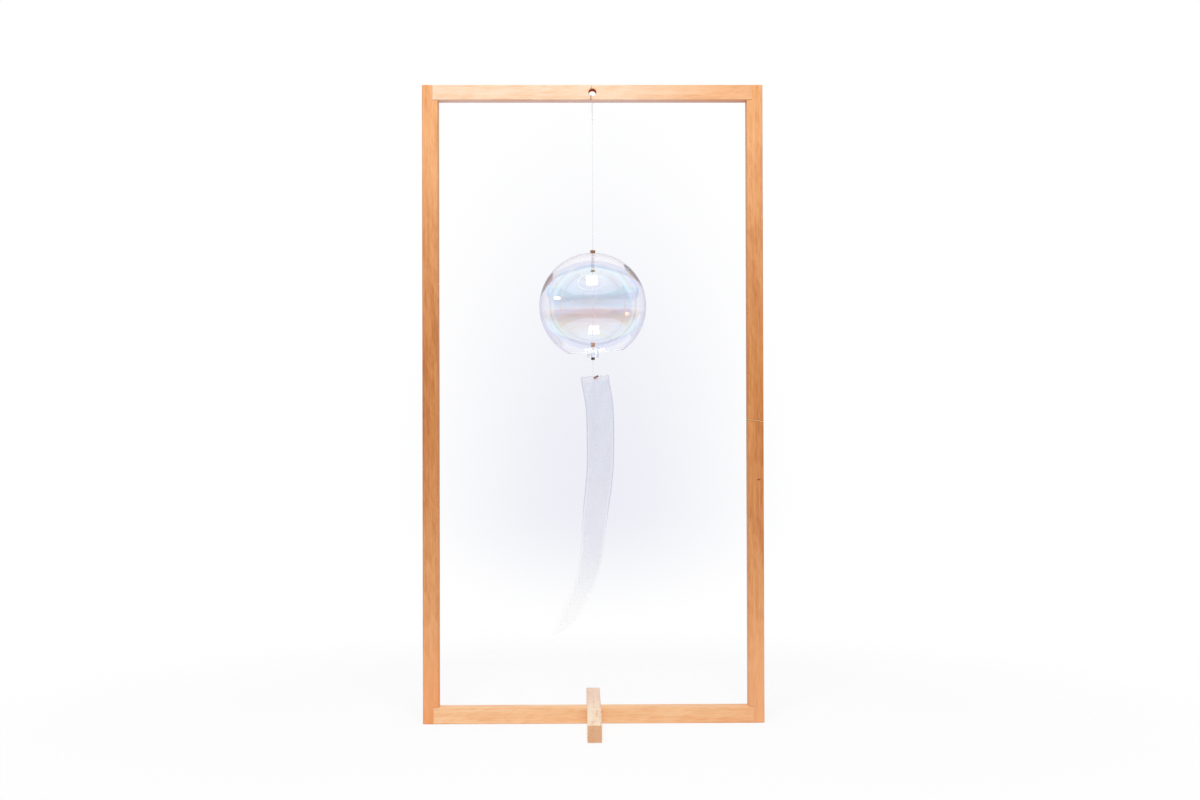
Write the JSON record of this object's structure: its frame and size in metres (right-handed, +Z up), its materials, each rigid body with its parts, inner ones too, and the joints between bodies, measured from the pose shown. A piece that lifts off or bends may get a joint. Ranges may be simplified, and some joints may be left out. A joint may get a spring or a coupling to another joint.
{
  "type": "furin wind bell",
  "caption": "Clear glass globe bell hung on nylon line in a tall wooden stand, with a glass clapper at its mouth and a strip of sheer cloth that catches the wind.",
  "frame": {"origin": "on the table, under the middle of the frame", "axes": "+Z up the frame, +X to the right across it, +Y from the front to the back along the foot"},
  "size_m": [0.267, 0.168, 0.5],
  "materials": {
    "cherry_wood": "oiled, satin",
    "lustre_glass": "clear with an iridescent lustre",
    "clear_glass": "clear, polished",
    "nylon_line": "clear",
    "clear_tube": "clear",
    "copper_bead": "dull copper",
    "dark_bead": "darkened",
    "sheer_cloth": "sheer plain weave"
  },
  "bodies": {
    "frame": {"left_stile": "cherry_wood", "right_stile": "cherry_wood", "top_rail": "cherry_wood", "bottom_rail": "cherry_wood", "foot": "cherry_wood", "rail_loop": "nylon_line"},
    "rail_knot": {"rail_knot": "nylon_line"},
    "bell_line": {"hanging_line": "nylon_line", "top_bead": "copper_bead", "stop_tube": "clear_tube", "stop_bead": "dark_bead"},
    "bell": {"glass_bell": "lustre_glass"},
    "clapper_knot": {"clapper_knot": "nylon_line"},
    "clapper": {"inner_line": "nylon_line", "upper_clapper_bead": "copper_bead", "clapper": "clear_glass", "lower_clapper_bead": "dark_bead"},
    "ribbon_knot": {"ribbon_knot": "nylon_line"},
    "tanzaku": {"tanzaku": "sheer_cloth", "ribbon_crimp": "copper_bead"}
  },
  "joints": [
    {"name": "bell_sway", "type": "hinge", "parent": "frame", "child": "rail_knot", "pos_m": [0, 0, 0.474], "axis": [0, 1, 0], "range_deg": [-8, 8]},
    {"name": "bell_rock", "type": "hinge", "parent": "rail_knot", "child": "bell_line", "pos_m": [0, 0, 0.474], "axis": [1, 0, 0], "range_deg": [-15, 15]},
    {"name": "bell_turn", "type": "hinge", "parent": "bell_line", "child": "bell", "pos_m": [0, 0, 0.3266], "axis": [0, 0, 1], "continuous": true},
    {"name": "clapper_sway", "type": "hinge", "parent": "bell_line", "child": "clapper_knot", "pos_m": [0, 0, 0.35275], "axis": [0, 1, 0], "range_deg": [-4.5, 4.5]},
    {"name": "clapper_rock", "type": "hinge", "parent": "clapper_knot", "child": "clapper", "pos_m": [0, 0, 0.35275], "axis": [1, 0, 0], "range_deg": [-10.5, 10.5]},
    {"name": "tanzaku_flap", "type": "hinge", "parent": "clapper", "child": "ribbon_knot", "pos_m": [0, 0, 0.27315], "axis": [1, 0, 0], "range_deg": [-30, 30]},
    {"name": "tanzaku_turn", "type": "hinge", "parent": "ribbon_knot", "child": "tanzaku", "pos_m": [0, 0, 0.27315], "axis": [0, 0, 1], "continuous": true}
  ]
}
